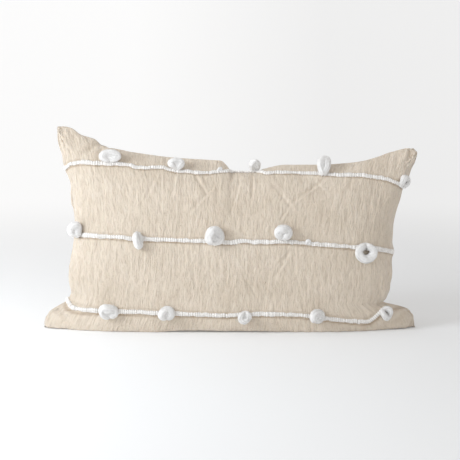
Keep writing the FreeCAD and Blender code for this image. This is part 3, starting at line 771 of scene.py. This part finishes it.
STRIPE_LINES = {  # x and apparent height in millimetres of points along each stripe, as seen from the front
    "top": [(-292, 274.1), (-280, 280.8), (-274, 285.2), (-265, 287.1), (-248, 288.2), (-226, 286.1),
            (-174, 284.3), (-161, 279.5), (-144, 278.4), (-114, 280), (-105, 275.8), (-92, 272.4),
            (-75, 272.6), (-57, 270), (-36, 269.8), (-18, 272.7), (8, 273.5), (25, 278.1), (34, 278.9),
            (47, 272.8), (64, 269.6), (81, 271.2), (142, 269.5), (185, 266.4), (229, 265.9), (242, 263.4),
            (259, 261.3), (272, 258.4), (289, 251.8), (307, 242.8)],
    "middle": [(-292, 166), (-265, 164.5), (-230, 161), (-192, 159.7), (-166, 156.6), (-92, 154.5),
               (-40, 152.3), (3, 150.1), (21, 153.6), (38, 150.9), (99, 151.4), (164, 145.7), (211, 142.2),
               (255, 138.7), (281, 133.5), (292, 131)],
    "bottom": [(-300, 66), (-282, 53.9), (-279, 46), (-275, 39.5), (-265, 35.1), (-248, 33.3), (-226, 32),
               (-161, 30.7), (-118, 28.5), (-66, 26.8), (-5, 24.6), (25, 26.8), (55, 27.6), (116, 25.5),
               (168, 18.9), (216, 13.7), (237, 12.8), (248, 20.7), (257, 29.4), (266, 36.4), (275, 40),
               (300, 44)]}
ROWS = np.arange(1, front.shape[0] - 1)


def stripe_columns(name):
    """The fractional column where a stripe crosses each row of the front."""
    line = np.array(STRIPE_LINES[name], float) * MM
    columns = np.zeros(len(ROWS))
    for n, i in enumerate(ROWS):
        z = seen_height(front[i]) - np.interp(front[i, :, 0], line[:, 0], line[:, 1])
        crest = int(np.argmax(seen_height(front[i])))
        under = np.nonzero(z[:crest] < 0)[0]
        j = max(under[-1], 8) if len(under) else 8
        columns[n] = j + min(1, max(0, -z[j] / max(z[j + 1] - z[j], 1e-9)))
    return np.convolve(np.pad(columns, 2, mode="edge"), [.1, .2, .4, .2, .1], "valid")


STRIPE_COLUMNS = {name: stripe_columns(name) for name in STRIPE_LINES}
# The stripes pull the cloth in, and a painted shadow darkens the cloth along their edges, most along the
# lower one.
STRIPE_PULL, STRIPE_EDGE = .9 * MM, 4.6 * MM
FRONT_WAY = normals(front, -1)
cover_shade = np.zeros(S.shape)
for columns in STRIPE_COLUMNS.values():
    middle_t = np.interp(np.arange(front.shape[0]), ROWS, np.interp(columns, np.arange(T.shape[1]), T[0]))
    off = T - middle_t[:, None]
    front = front - FRONT_WAY * (STRIPE_PULL * np.exp(-(off / (5 * MM)) ** 2) * detail)[..., None]
    below = np.exp(-((off + STRIPE_EDGE) / (1.5 * MM)) ** 2) * .75
    above = np.exp(-((off - STRIPE_EDGE) / (1.3 * MM)) ** 2) * .25
    cover_shade = np.maximum(cover_shade, np.maximum(below, above))

# ---------------- cover panels
half_gap = np.linalg.norm(back - front, axis=-1) / 2
skin = np.minimum(CLOTH, .45 * half_gap)[..., None]
PLACE = np.stack([S + .5, T + .5, 0 * S], -1).reshape(-1, 3)


def panel(name, outer, side, material, shade):
    """One cloth panel of the cover with its real thickness, thinner at the seam."""
    inner = outer - normals(outer, side) * skin
    inner[..., 2] = np.maximum(inner[..., 2], .6 * MM)
    verts, faces = shell(outer, inner, side)
    return piece(name, verts, faces, material, np.concatenate([PLACE, PLACE]), np.tile(shade.ravel(), 2))


cover_front = panel("cover_front", front, -1, COVER, cover_shade)
cover_back = panel("cover_back", back, 1, COVER_BACK, 0 * cover_shade)

# ---------------- stripes along the front
STRIPE_HALF_WIDE, STRIPE_HALF_THICK, RIB = 3.7 * MM, 2.0 * MM, 3.4 * MM
RIB_STEPS, STRIPE_RING = 8, 16
STRIPE_ENDS = {"bottom": .268}  # the bottom stripe goes into the crease behind the body's right corner


def stripe_path(columns, last_x):
    """Even points along a stripe on the front, with the way out of the cloth and across the stripe."""
    seen = sample(front, ROWS.astype(float), columns)[:, 0] < last_x
    rows, columns = ROWS[seen], columns[seen]
    points = sample(front, rows.astype(float), columns)
    along = np.r_[0, np.cumsum(np.linalg.norm(np.diff(points, axis=0), axis=1))]
    count = int(along[-1] / RIB * RIB_STEPS)
    at = np.linspace(0, along[-1], count)
    i, j = np.interp(at, along, rows), np.interp(at, along, columns)
    path, out = sample(front, i, j), unit(sample(FRONT_WAY, i, j))
    ahead = unit(np.gradient(path, axis=0))
    out = unit(out - ahead * (out * ahead).sum(-1, keepdims=True))
    return path, out, unit(np.cross(out, ahead)), at


def stripe(name, seed):
    """A thick yarn bound down across itself every few millimetres."""
    path, out, across, at = stripe_path(STRIPE_COLUMNS[name], STRIPE_ENDS.get(name, 1))
    zero = np.zeros_like(at)
    slub = noise(at / (24 * MM), zero, seed) * .10 + noise(at / (8 * MM), zero, seed + 1) * .16
    slip = noise(at / (9 * MM), zero, seed + 2) * .8
    ribs = abs(np.sin(math.pi * (at / RIB + slip))) ** .6
    size = (.66 + .42 * ribs + slub)[:, None]
    ends = np.minimum(1, np.minimum(at, at[-1] - at) / (2 * MM))[:, None] ** .5
    angle = around(STRIPE_RING)
    lean = noise(at / (6 * MM), zero, seed + 3)[:, None] * .6 * MM
    wide = np.cos(angle) * STRIPE_HALF_WIDE * size * ends + lean
    thick = np.sin(angle) * STRIPE_HALF_THICK * (.4 * size + .2 + .62 * ribs[:, None]) * ends
    outline = np.stack([wide, thick + .85 * MM], -1)
    verts, faces, cloth = tube(path, out, across, outline)
    # Painted shade in the hollows between the ribs.
    groove = np.repeat(.85 * smooth(.5, .05, ribs), STRIPE_RING)
    return (piece("stripe_" + name, verts, faces, YARN, cloth, np.r_[groove, 0, 0]), (path, out, across))


stripes = {name: stripe(name, 50 + 7 * n) for n, name in enumerate(STRIPE_LINES)}

# ---------------- puffed loops and knots of roving
# x, width, height, rise of the middle over the stripe in millimetres, twist in degrees, True if open
LOOPS = {
    "top": [(-204, 37, 23, 10, 8), (-91, 29, 20, 8.5, 20), (43, 22, 24, 4.5, 20),
            (159, 25, 37, 10, 12), (293, 27, 26, 7, 10, True)],
    "middle": [(-257, 24, 31, 8, 62), (-155, 22, 30, -1.5, 62), (-29, 34, 34, 8.5, 15),
               (89, 30, 31, 15, 0), (230, 38, 34, -6, 8, True)],
    "bottom": [(-206, 35, 29, 0, 12), (-108, 29, 24, 0, 10), (26, 26, 22, -2.5, 20),
               (145, 32, 27, 2.5, 15), (262, 25, 26, -8, 0, True)]}
KNOTS = {"top": (-17, 10, 9, 2, 0), "middle": (132, 11, 10, 2, 0)}
LOOP_STEPS, LOOP_RING = 72, 24
OPEN_THICKNESS, CLOSED_THICKNESS = .20, .27  # the roving's radius as a share of the loop's smaller side
HAIRS, HAIR_AREA = 70, 900                   # loose hairs on each so many square millimetres
HAIR_RADIUS, HAIR_LENGTH = .11 * MM, (3 * MM, 7 * MM)


def fibre(start, ahead, lift, length, curl):
    """One loose hair that leaves the surface and bends back along it."""
    t = np.linspace(0, 1, 6)[:, None]
    side = np.cross(ahead, lift)
    path = start + length * (ahead * t + lift * .42 * np.sin(t * 2.4) + side * curl * t * t)
    tangent = unit(np.gradient(path, axis=0))
    across = unit(np.cross(tangent, lift + 0 * path))
    return tube(path, np.cross(across, tangent), across, circle(around(3), HAIR_RADIUS * (1 - .8 * t)))


def core(centre, axes, seed):
    """A lumpy flat ball that closes a loop's middle."""
    a, b = np.meshgrid(around(24), np.linspace(-1.4, 1.4, 11), indexing="ij")
    lumps = 1 + .10 * noise(3 * np.cos(a) + 7, 2 * b + 3 * np.sin(a) + 9, seed)
    ways = np.stack([np.sin(b), np.cos(b) * np.cos(a), np.cos(b) * np.sin(a)], -1)
    rings = (ways * lumps[..., None]).swapaxes(0, 1)
    verts = centre + rings @ np.array([axes[2], axes[0], axes[1]])
    spine = verts.mean(1)
    index = np.arange(verts[..., 0].size).reshape(verts.shape[:2])
    after = np.roll(index, -1, axis=1)
    quads = np.stack([index[:-1], after[:-1], after[1:], index[1:]], -1).reshape(-1, 4).tolist()
    caps = [index[0, ::-1].tolist(), index[-1].tolist()]
    return verts.reshape(-1, 3), quads + caps, (verts - spine[:1, None]).reshape(-1, 3) + .3


def loose_hairs(centres, tangent, side_way, out_way, radius, count, seed):
    """Hairs that stand off the roving at random places."""
    chance = np.random.default_rng(seed)
    hairs = []
    for _ in range(count):
        n, way = chance.integers(8, LOOP_STEPS - 8), chance.uniform(0, 2 * math.pi)
        normal = side_way[n] * math.cos(way) + out_way[n] * math.sin(way)
        along = tangent[n] * chance.choice([-1, 1])
        along = unit(along + .7 * chance.uniform(-1, 1) * np.cross(normal, tangent[n]))
        root = centres[n] + normal * .96 * radius[n]
        hairs.append(fibre(root, along, normal, chance.uniform(*HAIR_LENGTH), chance.uniform(-.6, .6)))
    return hairs


def roving_skin(share, swell, seed):
    """The roving's surface round each ring: its lumps and strands as shares of its radius."""
    angle, at = around(LOOP_RING), share[:, None] + 0 * around(LOOP_RING)
    lumps = .22 * noise(at * 5, 3 * np.sin(angle) + 0 * at, seed + 1) * smooth(0, .12, swell)[:, None]
    drift = noise(share * 5, 0 * share, seed + 2)[:, None] * 1.2
    strands = (.026 * np.sin(angle * 8 + at * 6 + drift) + .018 * np.sin(angle * 13 - at * 5)
               + .020 * noise(at * 40, 4 * np.sin(angle) + 9 + 0 * at, seed + 3))
    return lumps, strands


def loop(name, place_on, x, wide, high, rise, twist, is_open=False, seed=0):
    """A puff of roving that leaves the stripe, turns round in a ring and goes back into it."""
    path, out, across = place_on
    k = int(np.argmin(abs(path[:, 0] - x * MM)))
    ahead = unit(path[min(k + 3, len(path) - 1)] - path[k - 3])
    up = (-across[k] if across[k][2] < 0 else across[k]) + np.array([0, 0, .9])
    up = unit(up - ahead * (up @ ahead))
    twist = math.radians(twist)
    sideways = math.cos(twist) * ahead + math.sin(twist) * np.cross(up, ahead)
    facing = unit(np.cross(sideways, up))
    roving = (OPEN_THICKNESS if is_open else CLOSED_THICKNESS) * min(wide, high) * MM
    half_wide, half_high = wide / 2 * MM - roving, high / 2 * MM - roving
    lift = .85 * roving + abs(math.sin(twist)) * half_wide
    centre = path[k] + up * rise * MM + out[k] * lift
    share = np.linspace(0, 1, LOOP_STEPS)
    turn = (-math.pi / 2 if rise >= 0 else math.pi / 2) + 2 * math.pi * share
    swell = np.sin(math.pi * share)
    wander = [noise(share * 4, 0 * share + n, seed) * swell * .32 * half_high for n in range(3)]
    centres = (centre + sideways * (np.cos(turn) * half_wide + wander[0])[:, None]
               + up * (np.sin(turn) * half_high + wander[1])[:, None]
               + facing * wander[2][:, None])
    sunk = (np.exp(-(share / .08) ** 2) + np.exp(-((1 - share) / .08) ** 2))[:, None]
    centres = centres - out[k] * .6 * lift * sunk
    tangent = unit(np.gradient(centres, axis=0))
    side_way = unit(facing - tangent * (tangent @ facing)[:, None])
    out_way = np.cross(tangent, side_way)
    lumps, strands = roving_skin(share, swell, seed)
    radius = roving * (.74 + .32 * swell ** .7)[:, None]
    parts = [tube(centres, out_way, side_way, circle(around(LOOP_RING), radius * (1 + lumps + strands)))]
    if not is_open:
        axes = (sideways * (half_wide + .35 * roving), up * (half_high + .35 * roving), facing * .62 * roving)
        parts.append(core(centre, axes, seed + 4))
    hairs = int(HAIRS * wide * high / HAIR_AREA)
    parts += loose_hairs(centres, tangent, side_way, out_way, radius, hairs, seed)
    verts, faces, cloth = joined(parts)
    # Painted shade where the roving's strands sink in.
    shade = np.zeros(len(verts))
    shade[:strands.size] = np.clip(-strands * 8, 0, .4).ravel()
    return piece(name, verts, faces, ROVING, cloth, shade)


loops = {}
for row, (line_name, specs) in enumerate(LOOPS.items()):
    for n, spec in enumerate(specs, 1):
        loops[f"loop_{line_name}_{n}"] = loop(f"roving_{line_name}_{n}", stripes[line_name][1], *spec,
                                              seed=100 + 20 * row + 3 * n)
knots = {line_name: loop(f"roving_knot_{line_name}", stripes[line_name][1], *spec, seed=200 + len(line_name))
         for line_name, spec in KNOTS.items()}

# ---------------- zip coils
def coil(name, node_name):
    """A wire wound evenly inside the CAD coil's box."""
    low, high = (np.array(c, float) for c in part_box(node_name))
    centre, radius = (low + high) / 2, (high[2] - low[2]) / 2
    wire, pitch, per_turn = .27 * MM, 1.5 * MM, 12
    turns = int((high[0] - low[0] - 2 * wire) / pitch)
    a = np.arange(turns * per_turn + 1) * 2 * math.pi / per_turn
    x = low[0] + wire + a / (2 * math.pi) * pitch
    r = radius - wire
    path = np.stack([x, centre[1] + r * np.cos(a), centre[2] + r * np.sin(a)], -1)
    ahead = unit(np.gradient(path, axis=0))
    out = np.stack([0 * a, np.cos(a), np.sin(a)], -1)
    verts, faces, cloth = tube(path, out, np.cross(out, ahead), circle(around(6), wire + 0 * a[:, None]))
    return piece(name, verts, faces, COIL, cloth)


zip_coils = {n: coil("zip_teeth_" + n, "zip_coil_" + n) for n in ("front", "back")}

# ---------------- the insert inside
LINER_CLEAR, FILL_CLEAR = 10 * MM, 13 * MM  # how far inside the cover they stand
LINER_BORDERS = (34, 36, 20)  # grid steps left free at the sides, the bottom and the top
INSERT_ROUND = 30 * MM  # how far in from its seam the insert reaches full thickness
HALF_SEAM_GAP = .25 * MM  # between the two liner panels, to each side of the middle


def insert(clear, border_x, border_low, border_top):
    """Two grids inside the cover that meet in a rounded edge."""
    rows = np.linspace(border_x, front.shape[0] - 1 - border_x, 121)
    columns = np.linspace(border_low, front.shape[1] - 1 - border_top, 69)
    i, j = (g.ravel() for g in np.meshgrid(rows, columns, indexing="ij"))
    shape = (len(rows), len(columns), 3)
    f, b = sample(front, i, j).reshape(shape), sample(back, i, j).reshape(shape)
    mid, half = (f + b) / 2, (b - f) / 2
    edge_x = np.minimum(rows - rows[0], rows[-1] - rows) / (rows[-1] - rows[0]) * FLAT_WIDE
    edge_z = np.minimum(columns - columns[0], columns[-1] - columns) / (columns[-1] - columns[0]) * FLAT_HIGH
    edge = np.minimum(edge_x[:, None], edge_z)
    thick = np.linalg.norm(half, axis=-1)
    close = np.sqrt(1 - (1 - np.clip(edge / INSERT_ROUND, 0, 1)) ** 2)
    keep = np.maximum(0, thick - clear) / np.maximum(thick, 1e-9) * close
    return mid, half * keep[..., None]


liner_mid, liner_half = insert(LINER_CLEAR, *LINER_BORDERS)
fill_mid, fill_half = insert(FILL_CLEAR, *(count + 3 for count in LINER_BORDERS))


def liner(name, side):
    """One of the insert's two panels, just outside the fill."""
    gap = HALF_SEAM_GAP
    way = normals(liner_mid, 1)
    outer = liner_mid + side * (liner_half + way * gap)
    half = np.linalg.norm(liner_half, axis=-1) + gap
    thin = np.minimum(.5 * MM, .45 * half)[..., None]
    verts, faces = shell(outer, outer - normals(outer, side) * thin, side)
    x, _, z = verts[:len(verts) // 2].T
    return piece(name, verts, faces, LINER, np.tile(np.stack([x, z, 0 * x], -1), (2, 1)))


insert_front, insert_back = liner("insert_front", -1), liner("insert_back", 1)
fill_verts, fill_faces = shell(fill_mid - fill_half - normals(fill_mid, 1) * .2 * MM,
                               fill_mid + fill_half + normals(fill_mid, 1) * .2 * MM, -1)
fibre_fill = piece("fibre_filling", fill_verts, fill_faces, WADDING)

# ---------------- what each piece is
def declare(made, slot, *nodes, fill=None):
    """Puts a piece on the pillow body and hides the CAD parts that it stands for; the material slot is not
    used, and neither is the fill.
    """
    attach(made, "pillow")
    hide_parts(*nodes)


declare(cover_front, "cover_cloth", "front_panel", fill=.8)
declare(cover_back, "cover_cloth", "back_panel", fill=.8)
declare(insert_front, "insert_liner", "insert_front_liner", fill=.8)
declare(insert_back, "insert_liner", "insert_back_liner", fill=.8)
declare(fibre_fill, "fibre_fill", "insert_fibre_fill", fill=.7)
for line_name, (made, _) in stripes.items():
    declare(made, "stripe_yarn", "stripe_yarn_" + line_name)
for node_name, made in loops.items():
    declare(made, "roving", node_name)
for line_name, made in knots.items():
    declare(made, "roving", "knot_" + line_name)
for side_name, made in zip_coils.items():
    declare(made, "zip_coil", "zip_coil_" + side_name)
for node_name, material in [("zip_tape_front", TAPE), ("zip_tape_back", TAPE), ("zip_top_stops", METAL),
                            ("zip_bottom_stop", METAL), ("zip_slider", METAL), ("zip_pull_tab", METAL)]:
    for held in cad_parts[node_name].material_slots:
        held.material = material

# ---------------- studio
# Painted falloff of the key light from the left: the paper's colour and glow go from the first tone on the
# left to the second on the right.
PAPER_LIT_LEFT, PAPER_SHADED_RIGHT = (1.0, 1.0, 1.0), (.885, .885, .885)
GLOW_NEAR, GLOW_FAR = .09, .745  # strength of the paper's own light, under the pillow and far from it


def stage_material(name):
    """Pale paper: lit by the lamps under the pillow, and glowing evenly further away; painted lighter on the
    left and darker on the right as a painted falloff of the light.
    """
    material, tree, shader = blank(name, Roughness=1.0, Specular_IOR_Level=0.0)
    place = node(tree, "TexCoord").outputs["Object"]
    x = node(tree, "SeparateXYZ", {0: place}).outputs[0]
    far = node(tree, "VectorMath", {0: place}, operation="LENGTH").outputs["Value"]
    away = node(tree, "MapRange", {"Value": far, "From Min": .5, "From Max": 2.2},
                interpolation_type="SMOOTHSTEP")
    slant = node(tree, "MapRange", {"Value": x, "From Min": -.45, "From Max": .45})
    fibres = maths(tree, "MULTIPLY", noise_at(tree, place, 60), .02)
    # Painted light: lighter on the left, darker on the right.
    tone = mixed(tree, slant.outputs[0], PAPER_LIT_LEFT, PAPER_SHADED_RIGHT)
    tone = mixed(tree, fibres, tone, (.8, .8, .8))
    base = mixed(tree, away.outputs[0], (.90, .912, .925), (.30, .30, .30))
    glow = node(tree, "MapRange", {"Value": away.outputs[0], "To Min": GLOW_NEAR, "To Max": GLOW_FAR})
    tree.links.new(mixed(tree, 1.0, base, tone, "MULTIPLY"), shader.inputs["Base Color"])
    tree.links.new(tone, shader.inputs["Emission Color"])
    tree.links.new(glow.outputs[0], shader.inputs["Emission Strength"])
    return material


def round_sweep():
    """A round floor that curves up into a wall on all sides."""
    flat, bend, tall, sectors = 3.4, 1.0, 3.6, 64
    profile = [(r, 0) for r in (.25, .6, 1.2, 2.2, flat)]
    profile += [(flat + bend * math.sin(a), bend - bend * math.cos(a))
                for a in np.linspace(.15, math.pi / 2, 10)]
    profile += [(flat + bend, tall)]
    turn = around(sectors)
    verts = [(r * math.cos(a), r * math.sin(a), z) for a in turn for r, z in profile] + [(0, 0, 0)]
    index = np.arange(sectors * len(profile)).reshape(sectors, len(profile))
    index = np.concatenate([index, index[:1]])
    faces = grid_quads(index, flip=True).tolist()
    faces += [[len(verts) - 1, int(index[k, 0]), int(index[k + 1, 0])] for k in range(sectors)]
    piece("studio_sweep", np.array(verts), faces, stage_material("studio_paper"))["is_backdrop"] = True


round_sweep()


def area_light(name, place, aim, wide, high, power, colour):
    """A rectangular lamp at place that shines towards aim."""
    data = bpy.data.lights.new(name, "AREA")
    data.shape, data.size, data.size_y, data.energy, data.color = "RECTANGLE", wide, high, power, colour
    made = placed(name, data)
    made.location = place
    way = np.array(aim, float) - np.array(place, float)
    made.rotation_euler = Vector(way).to_track_quat("-Z", "Y").to_euler()


area_light("key_left", (-1.45, -.80, .80), (-.10, 0, .15), .7, .7, 19, (.91, .955, 1.0))
area_light("top_soft", (-.2, .1, 2.2), (0, 0, .1), 1.8, 1.4, 6, (.96, .98, 1.0))

world = bpy.data.worlds.new("studio_air")
world.use_nodes = True
world.node_tree.nodes["Background"].inputs["Color"].default_value = (1.0, .95, .895, 1)
world.node_tree.nodes["Background"].inputs["Strength"].default_value = .43
bpy.context.scene.world = world

camera_data = bpy.data.cameras.new("camera")
SENSOR = 36  # mm
DISTANCE, VIEW_WIDE, AIM_Z = 2.4, .7914, .172  # the view is VIEW_WIDE across at DISTANCE
camera_data.sensor_width = SENSOR
camera_data.lens = SENSOR * DISTANCE / VIEW_WIDE
camera_data.dof.use_dof = False
camera = placed("camera", camera_data)
camera.location = (0, -DISTANCE * math.cos(ELEVATION), AIM_Z + DISTANCE * math.sin(ELEVATION))
camera.rotation_euler = (math.pi / 2 - ELEVATION, 0, 0)
bpy.context.scene.camera = camera
bpy.context.scene.view_settings.view_transform = "Standard"
